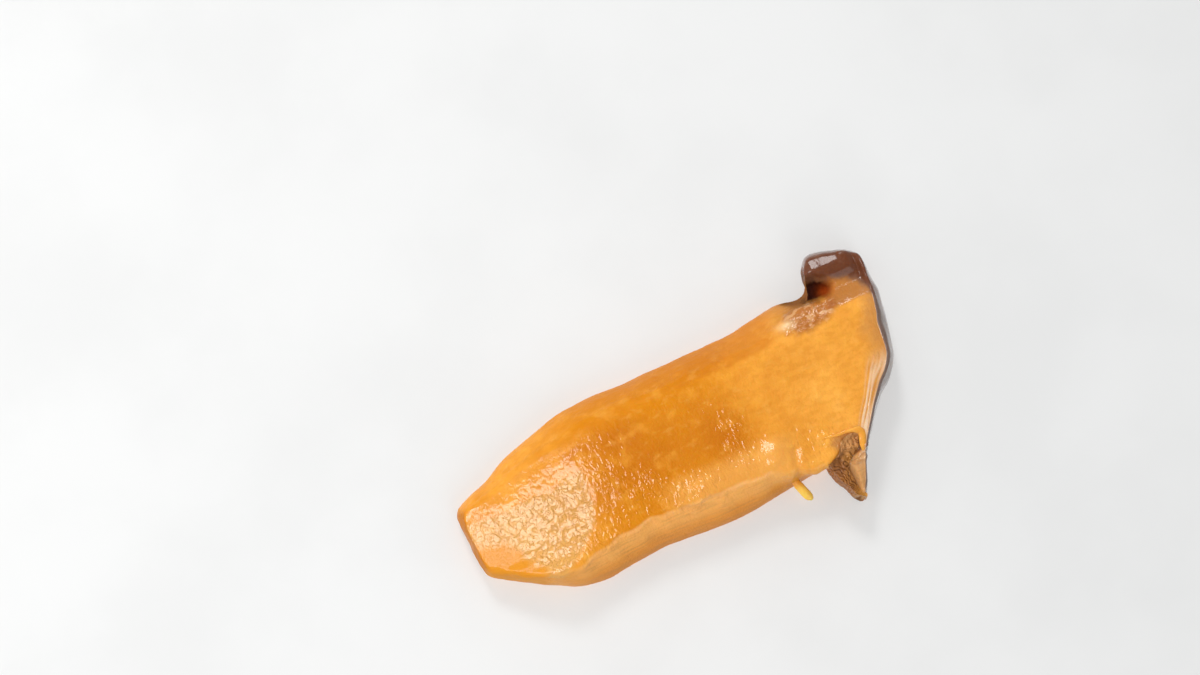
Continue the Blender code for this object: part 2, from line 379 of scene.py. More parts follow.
SKIN_WIDTH_FAR = [(25, 0.6), (33, 0.6), (36, 0.9)]
BUMPY_SPOTS = [     # x, y and two radii of the spots where the film stands in small bumps
    (39.5, -4.0, 6.5, 9.0), (58.0, -13.0, 9.0, 4.5), (30.0, -15.5, 9.0, 3.0), (90.5, -14.0, 4.0, 5.0),
    (96.0, -15.0, 4.0, 3.0), (74.5, -6.0, 3.5, 9.0), (48.0, -8.0, 6.0, 5.0),
]
DEEP_SPOTS = [      # where the sauce has soaked in deepest
    (46.0, 7.5, 8.0, 4.5), (34.5, 8.4, 3.0, 1.8), (50.0, -2.0, 14.0, 7.0), (72.0, -3.0, 7.0, 8.0),
]
outlines = (STRIP, RECESS, FACET, CORNER, SHELF, FAR_GILLS, FAR_SKIN)
print("outlines:", len(outlines), "with", sum(map(len, outlines)), "corners")

# %% Where a point is on the slice
x, y, z = plain[..., 0], plain[..., 1], plain[..., 2]
mark = np.broadcast_to(row_mark, x.shape)       # 0-1 upper cut, 1-2 edge, 2-3 side, 3-4 foot, 4-5 lower cut
station = np.broadcast_to(station_of[:, None], x.shape)
near = np.broadcast_to(is_near[:, None], x.shape)
rim = edge + inward * lean
from_rim = np.where(mark < 1.0, np.linalg.norm(plain[..., :2] - rim[:, None], axis=2), 0.0)
above_floor = mark < 3.9
on_top = 1 - fade(mark, 2.0, 2.4)
side = fade(mark, 1.5, 2.15) * (1 - fade(mark, 3.6, 3.98))
ragged = 0.5 * noise(plain, 2.4, 31) + 0.25 * noise(plain, 0.9, 32)      # mm by which borders wander
print("borders wander from", ragged.min().round(2), "to", ragged.max().round(2), "mm")

# %% Masks of the skin
cap_side = np.where(near, fade(station, 23.4, 24.2), fade(station, 25.6, 26.4))
skin_width = np.where(near, table(station, SKIN_WIDTH_NEAR), table(station, SKIN_WIDTH_FAR))
skin = cap_side * (1 - fade(from_rim + ragged * 0.6, skin_width * 0.7, skin_width * 1.2 + 0.2))
far_lobe = region(x + ragged, y + ragged, FAR_SKIN, 1.3)
skin = np.maximum(skin, far_lobe) * (1 - fade(mark, 3.7, 4.0))
lobe_brown = far_lobe * fade(y, 6.0, 20.0)
skin_glow = cap_side * (1 - fade(from_rim + 2 * ragged, skin_width, skin_width + 10.0)) ** 1.3 * above_floor
by_skin = cap_side * near * (1 - fade(from_rim, 4.2, 8.2)) * fade(x, 99.5, 103.5) * (1 - fade(y, -6.0, 2.0))
skin_lines = noise(np.stack([station * 3.5, from_rim, 0 * x], -1), (9.0, 1.1, 1.0), 33)    # along the skin
skin_lines = fade(skin_lines, -0.5, 0.4)
# Pale streaks along the skin's fibres beside the near skin: painted reflections.
painted_sheen_streaks = by_skin * skin_lines * on_top
print("skin covers", (skin > 0.5).mean().round(3), "of the grid")

# %% Masks of the gills and the hollow
gill_walls = np.where(near, fade(station, 18.0, 18.6) * (1 - fade(station, 23.2, 23.8)),
                      fade(station, 19.0, 22.0) * (1 - fade(station, 25.4, 26.2)))
gill_side = gill_walls * fade(mark, 1.3, 2.1) * (1 - fade(mark, 3.5, 3.9))
under_gills = region(x, y, GILL_BED, 0.5) * above_floor
strip = region(x, y, STRIP, 0.6) * (mark < 2.6)
recess_shade = region(x, y, RECESS, 1.0) * on_top * (1 - strip)
wet_gills = region(x + 2 * ragged, y + ragged, FAR_GILLS, 1.4) * on_top
# The hollow is painted near black: painted shade over its dark wet gills, and a painted glow where light
# shows through thin flesh at its end.
in_hollow = region(x + ragged, y + ragged, HOLLOW, 1.2) * above_floor
hollow_glow = spot(x, y, 112.0, 21.4, 2.0, 1.8) * on_top
# A painted highlight: a cream spot beside the far gill remains.
painted_highlight_spot = spot(x, y, 98.6, 16.4, 2.4, 1.2) * on_top
# A dark band along the far rim beside the hollow: painted shade.
painted_rim_shade = fade(x, 99.5, 102.5) * fade(y, 20.4, 22.2) * (1 - fade(x, 110.0, 112.0)) * above_floor
print("wet gills cover", (wet_gills > 0.5).mean().round(3), "of the grid")

# %% Masks of the flesh
corner_spot = region(x + 2 * ragged, y + 2 * ragged, CORNER, 1.6) * above_floor
facet = region(x, y, FACET, 0.8) * (mark < 2.0) * (1 - corner_spot)
shelf = region(x, y, SHELF, 0.7) * on_top
base_end = fade(3.2 - station, 0.0, 1.2) * fade(mark, 1.0, 1.6) * above_floor
pale_side = fade(-y, 7.0, 12.0) * fade(x, 48.0, 58.0) * (1 - fade(x, 82.0, 92.0)) * on_top
wall = side * np.where(near, fade(station, 5.5, 8.0) * (1 - 0.9 * fade(station, 14.0, 15.5)),
                       0.1 + 0.4 * fade(mark, 2.1, 2.9))
# Painted light and shade on the stem's side: a lighter band along its top and a darker foot, and a darker
# lower side all along the far side.
lit_wall_top = near * fade(mark, 1.1, 1.6) * (1 - fade(mark, 2.1, 2.5)) * fade(station, 5.5, 8.0)
lit_wall_top *= 1 - fade(station, 15, 16)
shaded_wall_foot = near * fade(mark, 2.3, 3.0) * above_floor * fade(station, 5.5, 8.0)
shaded_wall_foot *= 1 - fade(station, 16.0, 18.0)
shaded_wall_foot = np.maximum(shaded_wall_foot, ~near * fade(mark, 1.6, 2.8) * above_floor * fade(station, 8.0, 13.0))
far_band = ~near * fade(station, 6.0, 9.0) * (1 - fade(station, 18.6, 20.0)) * above_floor
bumpy = np.zeros(x.shape)
for place in BUMPY_SPOTS:
    bumpy = np.maximum(bumpy, spot(x, y, *place))
bumpy *= on_top * (1 - facet)
soak_and_far_shade = sum(spot(x, y, *place) for place in DEEP_SPOTS)
# Along the far band of the stem's side, this mask also paints shade.
soak_and_far_shade = soak_and_far_shade + (0.15 + 0.65 * fade(x, 60.0, 78.0)) * far_band * fade(mark, 0.85, 1.3)
print("the facet covers", (facet > 0.5).mean().round(3), "of the grid")

# %% Where the film of sauce is thin
far_dull = np.maximum(fade(mark, 0.97, 1.3), fade(mark, 0.7, 0.95) * far_band)
dull = np.where(near, fade(mark, 1.5, 2.1), far_dull)
dull = np.maximum(dull * (1 + 0.25 * far_band), 0.8 * corner_spot)
dull = np.maximum(dull, fade(x, 110.0, 113.0) * fade(y, 17.0, 18.0) * on_top) * (1 - skin) * above_floor
crest = fade(x, 111.0, 113.0) * fade(y, 14.6, 15.4) * (0.4 + 0.6 * fade(x, 115.5, 118.5)) * on_top
dull = np.maximum(dull, crest * (1 - skin))         # the crest of the slope beside the cap
masks = {
    "skin": skin, "lobe_brown": lobe_brown, "skin_glow": skin_glow, "painted_sheen_streaks": painted_sheen_streaks,
    "gill_side": gill_side, "under_gills": under_gills, "strip": strip, "recess_shade": recess_shade,
    "wet_gills": wet_gills, "hollow": in_hollow, "hollow_glow": hollow_glow, "painted_highlight_spot": painted_highlight_spot,
    "painted_rim_shade": painted_rim_shade, "facet": facet, "corner": corner_spot, "shelf": shelf, "base_end": base_end,
    "pale_side": pale_side, "wall": wall, "lit_wall_top": lit_wall_top, "shaded_wall_foot": shaded_wall_foot, "soak_and_far_shade": soak_and_far_shade,
    "bumpy": np.maximum(bumpy, 0.3 * wet_gills), "dull": dull,
}
print("masks:", len(masks))

# %% [markdown]
# ## Relief
#
# Braised flesh isn't smooth. The trimmed base has shrunk into fine leathery wrinkles. The cut face has soft
# dents and small wet bumps. The stem's side shows the mushroom's long fibres. The gills are ridges in a row.
# Bump in a material would show at no grazing angle, so everything above a tenth of a millimetre is real
# relief: the surface moves out along its normals. The lower cut stays flat where it rests.

# %% Noise fields
points = plain.copy()
warp = np.stack([noise(points, 3.2, seed) for seed in (11, 12, 13)], -1)
creases = np.exp(-((noise(points + warp * 1.2, (3.0, 4.4, 3.0), 21) / 0.08) ** 2))
fine_creases = np.exp(-((noise(points + warp * 0.7, (1.5, 2.2, 1.8), 22) / 0.10) ** 2))
bumps = noise(points + warp * 0.5, (0.9, 1.5, 1.2), 23)
dents = noise(points, (7.0, 5.0, 8.0), 24)
lumps = 1 - 2 * np.abs(noise(points + warp, (2.4, 1.2, 1.6), 25))
fibres = noise(points + warp * 0.4, (11.0, 1.1, 0.9), 26)
fibres = fibres + 0.6 * noise(points + warp * 0.2, (6.0, 0.6, 0.5), 27)
height_lines = np.sin(2 * np.pi * (z / 1.5 + 0.45 * noise(points, (5.0, 5.0, 3.0), 28)))
gill_ridges = np.abs(height_lines) ** 0.6
patchy = fade(noise(points, (6.0, 6.0, 6.0), 29), -0.5, 0.5)

print("creases cover", (creases > 0.5).mean().round(3), "of the grid")

# %% Relief in millimetres: the fields, each on its own kind of surface
CREASES = [         # path, width and depth of single folds
    ([(84.6, -21.5), (86.2, -20.0), (86.0, -17.5), (87.2, -14.4)], 0.8, 0.24),
    ([(54.5, -16.4), (57.5, -17.6), (60.0, -18.6), (63.0, -19.0)], 0.6, 0.30),
    ([(60.0, -17.2), (62.5, -16.8), (64.5, -17.4)], 0.5, 0.22),
    ([(99.6, -22.3), (102.0, -22.6), (104.4, -21.6)], 0.5, 0.40),
]
face = (1 - fade(mark, 1.6, 2.4)) * (1 - skin)
relief = 0.10 * dents * face
relief -= (0.13 * creases + 0.06 * fine_creases) * (0.50 + 0.50 * fade(x, 2.0, 20.0)) * facet * face
relief += 0.09 * noise(points + warp * 0.5, (4.5, 2.2, 3.0), 61) * facet * face
relief += 0.13 * bumps * (0.22 + 1.1 * bumpy * patchy) * face * (1 - facet)
relief += 0.07 * fibres * side * (1 - skin) * (1 - gill_side)
relief += 0.30 * dents * side + 0.05 * bumps * side * (1 - skin)
relief += (0.22 * lumps + 0.05 * bumps) * np.maximum(wet_gills, in_hollow) * face
relief += 0.55 * (gill_ridges - 0.6) * gill_side
relief += 0.10 * (skin_lines - 0.5) * by_skin
relief += (0.16 - 0.03 * fine_creases * (1 - far_lobe) + 0.04 * dents) * skin
for path, width, depth in CREASES:
    reach = distance_to(x, y, path) / width
    relief -= depth * (np.exp(-(reach**2)) - 0.6 * np.exp(-((reach - 2) ** 2))) * on_top

# At the middle line, where many points meet, relief goes straight up.
to_middle = fade(mark, 0.0, 0.12)[..., None]
relief_way = normals * to_middle + np.array([0.0, 0.0, 1.0]) * (1 - to_middle)
points += relief_way * (relief * (1 - fade(mark, 3.3, 3.95)))[..., None]
points[..., 2] = np.maximum(points[..., 2], 0.0)
print("relief from", relief.min().round(2), "to", relief.max().round(2), "mm")

# %% [markdown]
# ## From arrays to a mesh
#
# A grid becomes a mesh with one vertex for each point and one quad for each cell. foreach_set writes whole
# arrays into Blender at once. Each mask goes in as a float attribute with one value for each vertex.

# %% Making meshes
def add_mesh(name, vertices, quads, masks=None):
    """A smooth mesh object in the row frame from drawing millimetres, with masks as float attributes."""
    mesh = bpy.data.meshes.new(name)
    mesh.vertices.add(len(vertices))
    mesh.vertices.foreach_set("co", ((vertices + TO_ROW) / 1000).astype(np.float32).ravel())
    mesh.loops.add(quads.size)
    mesh.loops.foreach_set("vertex_index", quads.astype(np.int32).ravel())
    mesh.polygons.add(len(quads))
    mesh.polygons.foreach_set("loop_start", np.arange(0, quads.size, 4, dtype=np.int32))
    mesh.update(calc_edges=True)
    for mask, values in (masks or {}).items():
        layer = mesh.attributes.new(mask, "FLOAT", "POINT")
        layer.data.foreach_set("value", values.astype(np.float32).ravel())
    mesh.shade_smooth()
    made = bpy.data.objects.new(name, mesh)
    bpy.context.scene.collection.objects.link(made)
    return made


def grid_quads(rows, columns, closed_rows=False, closed_columns=False):
    """The corner numbers of every cell of a rows by columns grid, row after row."""
    first = np.arange(rows if closed_rows else rows - 1)
    second = np.arange(columns if closed_columns else columns - 1)
    a, b = np.meshgrid(first, second, indexing="ij")
    c, d = (a + 1) % rows, (b + 1) % columns
    return np.stack([a * columns + b, c * columns + b, c * columns + d, a * columns + d], -1).reshape(-1, 4)


def close_seams(thing):
    """Merges doubled vertices and turns all faces out."""
    shell = bmesh.new()
    shell.from_mesh(thing.data)
    bmesh.ops.remove_doubles(shell, verts=shell.verts, dist=1e-6)
    bmesh.ops.recalc_face_normals(shell, faces=shell.faces)
    shell.to_mesh(thing.data)
    shell.free()


body = add_mesh("slice_flesh", points.reshape(-1, 3), grid_quads(*x.shape, closed_rows=True), masks)
close_seams(body)
print("slice:", len(body.data.polygons), "faces")

# %% [markdown]
# ## The gills of the near margin
#
# Under the cap's margin hang the gills: thin blades side by side, all running from the stem to the margin.
# The cut laid them open, and the braise left them limp and matted. Separate sheets would show as paper, so
# they are one folded surface: across it, sharp ridges and narrow grooves alternate, and along it they run
# together at the margin's tip. It starts under the flesh strip, crosses the opening, and drops down the side.

# %% Curves through a few points, and the folded surface
def along(path, t):
    """A Catmull-Rom curve through a path's points, in any number of dimensions, for t from 0 to 1."""
    path = np.array(path, float)
    path = np.vstack([2 * path[0] - path[1], path, 2 * path[-1] - path[-2]])
    place = np.clip(np.asarray(t, float), 0, 1) * (len(path) - 3)
    base = np.minimum(place.astype(int), len(path) - 4)
    f = (place - base)[..., None]
    a, b, c, d = (path[base + step] for step in range(4))
    return 0.5 * (2 * b + (c - a) * f + (2 * a - 5 * b + 4 * c - d) * f**2 + (3 * b - a - 3 * c + d) * f**3)


FREE_EDGE = [(93.7, -21.4), (94.2, -23.8), (94.9, -26.6), (96.2, -28.6), (96.8, -30.8), (98.0, -32.3)]
STRIP_EDGE = [(103.6, -17.6), (102.2, -21.0), (98.8, -22.8), (98.0, -25.4), (98.4, -28.4), (98.4, -31.6)]
FLESH_LINE = [(93.7, -21.4), (95.6, -20.6), (97.2, -19.6), (98.6, -17.4), (101.0, -16.4), (103.8, -16.6)]
TOP_RIDGES, SIDE_RIDGES = 4, 4
SIDE_SHARE = 0.6            # how far across goes on past 1, down the side


def near_gills_points(across_count=240, down_count=130):
    """Points of the folded sheet. across runs from the strip (0) to the free edge (1) and on down the side;
    down runs from under the flesh line to the tip, where the sheet tucks into the slice. Ridges are the
    absolute value of a sine whose phase wanders."""
    across, down = np.meshgrid(np.linspace(0, 1 + SIDE_SHARE, across_count), np.linspace(0, 1, down_count),
                               indexing="ij")
    top = np.clip(across, 0, 1)[..., None]
    free, strip_line = along(FREE_EDGE, down), along(STRIP_EDGE, down)
    plan = strip_line + (free - strip_line) * top
    upper_ends = np.array(STRIP_EDGE[0]) * (1 - top) + np.array(FREE_EDGE[0]) * top
    plan += (along(FLESH_LINE, 1 - top[..., 0]) - upper_ends) * (1 - fade(down, 0.0, 0.45))[..., None]
    fall = np.clip((across - 1) / SIDE_SHARE, 0, 1)
    surface = upper_cut(plan[..., 0], plan[..., 1]) + 0.9 * fade(across, 0.0, 0.15)
    height = surface * (1 - fall) + 0.35 * fall
    tucked = fade(down, 0.86, 1.0)
    out = np.stack([-np.ones_like(down), 0.35 * np.ones_like(down)], -1)
    plan = plan + out * (0.8 * np.sin(np.pi * fall) * (1 - tucked) - 1.3 * tucked)[..., None]
    made = np.concatenate([plan, (height - 0.5 * tucked)[..., None]], -1)
    wander = 1.0 * noise(made, (3.0, 3.0, 3.0), 41) + 0.8 * noise(made, 1.3, 42)
    count = np.where(across < 1, across * TOP_RIDGES, TOP_RIDGES + fall * SIDE_RIDGES)
    count += 3 * fade(down, 0.0, 0.4)           # they fan out where they leave the flesh
    ridge = np.abs(np.sin(np.pi * (count + wander))) ** 0.6
    crumple = 0.5 * noise(made, (2.2, 3.0, 2.6), 43) + 0.35 * noise(made, (1.0, 1.5, 1.2), 44)
    height_of_ridges = 0.7 + 0.6 * noise(made, 3.0, 45)
    lift = (0.7 * (ridge - 0.7) * height_of_ridges + crumple) * (1 - 0.4 * down) * (1 - tucked)
    up = np.stack([-fall**0.5, 0 * fall, 1 - fall], -1)
    return made + up * lift[..., None], ridge, down


gill_points, ridge, down = near_gills_points()
gill_points[..., 2] = np.maximum(gill_points[..., 2], 0.05)
near_gills = add_mesh("near_gills", gill_points.reshape(-1, 3), grid_quads(*ridge.shape),
                      {"ridge": ridge, "down": down})
print("near gills:", len(near_gills.data.polygons), "faces")

# %% [markdown]
# ## The torn strand and the curled lip
#
# Two small things stand off the slice. A strand of flesh has torn loose and hangs from the near side, and
# above the gills the flesh edge has curled up into a lip. Both are limp rods, so both come from one function:
# a rounded section carried along a curve, whose width and height change along it and close to nothing at
# both ends.

# %% Rods of flesh
def rod(name, path, widths, heights, steps=60, sides=28, rough=0.12, seed=0):
    """A closed rod: at each step along the path an ellipse stands across it, its two radii read from tables,
    times the square root that rounds the ends; noise makes it uneven."""
    t = np.sin(np.linspace(-np.pi / 2, np.pi / 2, steps)) / 2 + 0.5
    centre = along(path, t)
    heading = np.gradient(centre, axis=0)
    heading /= np.linalg.norm(heading, axis=1, keepdims=True)
    sideways = np.cross(heading, (0.0, 0.0, 1.0))
    sideways /= np.linalg.norm(sideways, axis=1, keepdims=True)
    up = np.cross(sideways, heading)
    closing = (1 - (2 * t - 1) ** 6) ** 0.5
    wide, high = table(t, widths) * closing, table(t, heights) * closing
    turn = np.linspace(0, 2 * np.pi, sides, endpoint=False)
    out = (sideways[:, None] * (wide[:, None] * np.cos(turn))[..., None]
           + up[:, None] * (high[:, None] * np.sin(turn))[..., None])
    surface = centre[:, None] + out * (1 + rough * noise(centre[:, None] + out * 1.3, 1.1, seed))[..., None]
    made = add_mesh(name, surface.reshape(-1, 3), grid_quads(steps, sides, closed_columns=True))
    close_seams(made)
    return made


STRAND_PATH = [(83.8, -18.6, 4.6), (84.3, -21.6, 5.2), (85.2, -24.6, 4.9), (86.4, -27.3, 4.0)]
LIP_PATH = [(94.2, -14.4, 12.3), (97.6, -15.1, 12.3), (101.0, -15.4, 12.3), (103.6, -15.9, 12.1),
            (104.7, -17.0, 11.8), (104.2, -19.0, 11.4), (103.2, -21.6, 10.8)]
strand = rod("torn_strand", STRAND_PATH, widths=[(0, 1.5), (0.4, 1.15), (0.8, 1.2), (1, 1.0)],
             heights=[(0, 1.3), (0.5, 0.9), (1, 0.8)], seed=51)
lip = rod("curled_lip", LIP_PATH, widths=[(0, 0.3), (0.35, 0.5), (0.6, 1.0), (0.9, 1.0), (1, 0.8)],
          heights=[(0, 0.3), (0.5, 0.5), (1, 0.7)], seed=52)
print("rods:", len(strand.data.polygons) + len(lip.data.polygons), "faces")

# %% [markdown]
# ## Colours and nodes
#
# Colours are written as sRGB hex, the way a colour picker shows them, and turned into the linear values that
# the shader adds up. One function adds a node. Another lays paint in layers, each through its own mask.

# %% Material tools
def linear(hex_colour):
    """An sRGB hex colour as linear RGBA, by the sRGB curve."""
    channels = np.array([int(hex_colour[i:i + 2], 16) for i in (1, 3, 5)]) / 255
    curved = np.where(channels <= 0.04045, channels / 12.92, ((channels + 0.055) / 1.055) ** 2.4)
    return (*curved, 1.0)


def add(tree, kind, inputs=None, out=0, **settings):
    """Adds a node with its settings, gives each input a value or a link, and returns one of its outputs."""
    node = tree.nodes.new(kind)
    for name, value in settings.items():
        setattr(node, name, value)
    for name, value in (inputs or {}).items():
        if isinstance(value, bpy.types.NodeSocket):
            tree.links.new(value, node.inputs[name])
        else:
            node.inputs[name].default_value = value
    return node.outputs[out]


def layered(tree, base, layers):
    """Paint in layers: each (mask, strength, hex colour) covers what is below by mask times strength."""
    colour = linear(base)
    for mask, strength, hex_colour in layers:
        cover = add(tree, "ShaderNodeMath", {0: mask, 1: strength}, operation="MULTIPLY", use_clamp=True)
        colour = add(tree, "ShaderNodeMix", {0: cover, 6: colour, 7: linear(hex_colour)}, out=2,
                     data_type="RGBA")
    return colour


def new_material(name, values):
    """A material with a Principled shader that has these constant values, and its tree and coordinates."""
    material = bpy.data.materials.new(name)
    material.use_nodes = True
    tree = material.node_tree
    shader = tree.nodes["Principled BSDF"]
    for value_name, value in values.items():
        shader.inputs[value_name].default_value = value
    return material, tree, shader, add(tree, "ShaderNodeTexCoord", out=3)


def speckle(tree, place, size_mm, stretch=(1, 1, 1), detail=3.0, distortion=0.0):
    """Noise whose cells are size_mm across, stretched along the axes."""
    scale = tuple(1000 / size_mm / s for s in stretch)
    scaled = add(tree, "ShaderNodeMapping", {"Vector": place, "Scale": scale})
    return add(tree, "ShaderNodeTexNoise", {"Vector": scaled, "Scale": 1.0, "Detail": detail,
                                            "Distortion": distortion})


def grain(tree, place, size_mm, low, high, detail=3.0, stretch=(1, 1, 1)):
    """Speckle whose values from low to high become 0 to 1, by an S-curve."""
    value = speckle(tree, place, size_mm, stretch, detail)
    return add(tree, "ShaderNodeMapRange", {"Value": value, "From Min": low, "From Max": high},
               interpolation_type="SMOOTHSTEP")


print("amber as linear:", [round(c, 3) for c in linear("#DE8A22")])

# %% [markdown]
# ## Braised flesh
#
# Mushroom flesh is pale and full of water, so light goes in and comes out a little further on, which is
# subsurface scattering. Soy sauce has dyed it amber, deeper in the middle of the stem, and brighter where it
# is thin near the cap. A film of sauce over it is a clear coat: smooth, with IOR 1.35. The stem's side was
# never cut and is duller, with fibres. The skin is dark brown and dyes the flesh next to it.

# %% The flesh's colours
def flesh_colour(tree, place, mask):
    """Amber, paler toward both ends and deeper in the middle; on it the cut faces, the stem's side, the gills
    and the skin. A few patterns show on one kind of surface only."""
    x_axis = add(tree, "ShaderNodeSeparateXYZ", {"Vector": place})
    toward_cap = add(tree, "ShaderNodeMapRange", {"Value": x_axis, "From Min": 0.002, "From Max": 0.042},
                     interpolation_type="SMOOTHSTEP")
    toward_base = add(tree, "ShaderNodeMapRange", {"Value": x_axis, "From Min": -0.020, "From Max": -0.042},
                      interpolation_type="SMOOTHSTEP")
    clouds = grain(tree, place, 15, 0.40, 0.62)
    blotches = grain(tree, place, 4.5, 0.5, 0.72)
    mottle = grain(tree, place, 1.5, 0.42, 0.62, stretch=(1.8, 1, 1))
    painted_glints = grain(tree, place, 2.6, 0.55, 0.72, detail=4.0, stretch=(1.6, 1, 1))
    threads = grain(tree, place, 0.8, 0.42, 0.72, stretch=(14, 1, 1))
    fibrils = grain(tree, place, 0.6, 0.45, 0.7, stretch=(1, 1, 5))
    worms = grain(tree, place, 1.5, 0.50, 0.64, stretch=(1.6, 1, 1))
    wall_threads, skin_spots, skin_fibrils, painted_wet_highlights, strip_mottle = (
        add(tree, "ShaderNodeMath", {0: pattern, 1: mask[name]}, operation="MULTIPLY")
        for pattern, name in ((threads, "wall"), (blotches, "skin"), (fibrils, "skin"), (worms, "wet_gills"),
                              (mottle, "strip")))
    # Some layers below are painted shade and painted highlights, not the flesh's own colour.
    return layered(tree, "#DE8A12", [
        (toward_cap, 0.95, "#FFB44C"),
        (toward_base, 0.70, "#F4A840"),
        (clouds, 0.35, "#D07A06"),
        # deeper soak in spots, and painted shade along the far band
        (mask["soak_and_far_shade"], 0.70, "#C66C00"),
        (blotches, 0.40, "#F6AC3E"),
        (mottle, 0.20, "#C8740E"),
        # painted highlights: small pale glints on the wet face
        (painted_glints, 0.17, "#FFC462"),
        # the sloping base, painted a paler peach: partly painted glare
        (mask["facet"], 0.60, "#E2AC62"),
        (mask["corner"], 0.70, "#E0901E"),
        (mask["pale_side"], 0.40, "#FFBE68"),
        (mask["wall"], 0.80, "#F2A048"),
        # painted light along the side's top, and painted shade at its foot
        (mask["lit_wall_top"], 0.70, "#FFBA66"),
        (mask["shaded_wall_foot"], 0.45, "#C87A34"),
        (wall_threads, 0.42, "#C8884A"),
        (mask["base_end"], 0.80, "#B86C1A"),
        (mask["shelf"], 0.85, "#B06E34"),
        (mask["skin_glow"], 0.75, "#BC8048"),
        # painted reflections in streaks beside the near skin
        (mask["painted_sheen_streaks"], 0.85, "#F4D6B4"),
        # painted shade in the recess above the gills
        (mask["recess_shade"], 0.75, "#B87A48"),
        (mask["wet_gills"], 0.80, "#A85E28"),
        # painted highlights in worm-like streaks on the wet gill remains
        (painted_wet_highlights, 0.50, "#F4C490"),
        # a painted highlight spot
        (mask["painted_highlight_spot"], 0.70, "#FFDCA8"),
        # painted shade along the far rim
        (mask["painted_rim_shade"], 0.80, "#4A1E0C"),
        # the hollow: painted shade over dark wet gills, then a painted glow of light through thin flesh
        (mask["hollow"], 1.00, "#2A0A03"),
        (mask["hollow_glow"], 0.80, "#A8440C"),
        (mask["gill_side"], 0.75, "#9A6438"),
        (mask["under_gills"], 0.90, "#6E4222"),
        (mask["strip"], 0.85, "#D29E68"),
        (strip_mottle, 0.45, "#A8723E"),
        (mask["skin"], 0.96, "#75625A"),
        (mask["lobe_brown"], 0.90, "#6C3616"),
        (skin_spots, 0.40, "#8A644E"),
        (skin_fibrils, 0.22, "#4C3226"),
    ])


# %% The film of sauce and the pores
def flesh_normals(tree, place, mask):
    """Two normals. The film's has the base's leather creases, which lie where a noise crosses its middle
    value, and the small drops that the sauce stands in. The flesh's has pores as well."""
    leather = speckle(tree, place, 1.43, stretch=(1, 1.556, 1.25), detail=2.0, distortion=1.2)
    crease = add(tree, "ShaderNodeMath", {0: leather, 1: 0.5}, operation="SUBTRACT")
    crease = add(tree, "ShaderNodeMath", {0: crease}, operation="ABSOLUTE")
    crease = add(tree, "ShaderNodeMapRange", {"Value": crease, "From Max": 0.035},
                 interpolation_type="SMOOTHSTEP")
    x_axis = add(tree, "ShaderNodeSeparateXYZ", {"Vector": place})
    from_tip = add(tree, "ShaderNodeMapRange", {"Value": x_axis, "From Min": -0.062, "From Max": -0.040,
                                                "To Min": 0.45, "To Max": 1.0})
    for factor in (from_tip, mask["facet"]):
        crease = add(tree, "ShaderNodeMath", {0: crease, 1: factor}, operation="MULTIPLY")
    drops = speckle(tree, place, 1.11, stretch=(1, 1.607, 1.286), detail=1.0, distortion=0.6)
    drop_height = 0.8
    for name, more in (("bumpy", 4.0), ("facet", -0.7), ("lobe_brown", -0.5)):
        drop_height = add(tree, "ShaderNodeMath", {0: mask[name], 1: more, 2: drop_height},
                          operation="MULTIPLY_ADD")
    film = add(tree, "ShaderNodeMath", {0: drops, 1: drop_height, 2: crease}, operation="MULTIPLY_ADD")
    film_normal = add(tree, "ShaderNodeBump", {"Height": film, "Strength": 1.0, "Distance": 0.00010})
    pores = speckle(tree, place, 0.667)
    flesh_normal = add(tree, "ShaderNodeBump", {"Height": pores, "Strength": 1.0, "Distance": 0.00015,
                                                "Normal": film_normal})
    return film_normal, flesh_normal


# %% The flesh material
def flesh_material():
    """Cooked mushroom flesh in a film of soy sauce: amber, soft inside and wet outside."""
    material, tree, shader, place = new_material("soy-braised mushroom flesh", {
        "IOR": 1.4, "Specular IOR Level": 0.12, "Coat IOR": 1.35, "Coat Roughness": 0.09,
        "Subsurface Weight": 0.18, "Subsurface Radius": (1.0, 0.42, 0.12), "Subsurface Scale": 0.0025,
    })
    mask = {name: add(tree, "ShaderNodeAttribute", out=2, attribute_name=name) for name in masks}
    tree.links.new(flesh_colour(tree, place, mask), shader.inputs["Base Color"])
    dry = grain(tree, place, 6, 0.35, 0.7)
    roughness = add(tree, "ShaderNodeMapRange", {"Value": dry, "To Min": 0.30, "To Max": 0.45})
    for name, more in (("wall", 0.30), ("corner", 0.35), ("hollow", 0.45), ("soak_and_far_shade", 0.10)):
        roughness = add(tree, "ShaderNodeMath", {0: mask[name], 1: more, 2: roughness},
                        operation="MULTIPLY_ADD", use_clamp=True)
    tree.links.new(roughness, shader.inputs["Roughness"])
    wet = add(tree, "ShaderNodeMath", {0: mask["dull"], 1: -0.75, 2: 0.95}, operation="MULTIPLY_ADD")
    wet = add(tree, "ShaderNodeMath", {0: mask["hollow"], 1: -0.9, 2: wet}, operation="MULTIPLY_ADD",
              use_clamp=True)
    tree.links.new(wet, shader.inputs["Coat Weight"])
    film_normal, flesh_normal = flesh_normals(tree, place, mask)
    tree.links.new(flesh_normal, shader.inputs["Normal"])
    tree.links.new(film_normal, shader.inputs["Coat Normal"])
    return material


flesh = flesh_material()
print("flesh nodes:", len(flesh.node_tree.nodes))
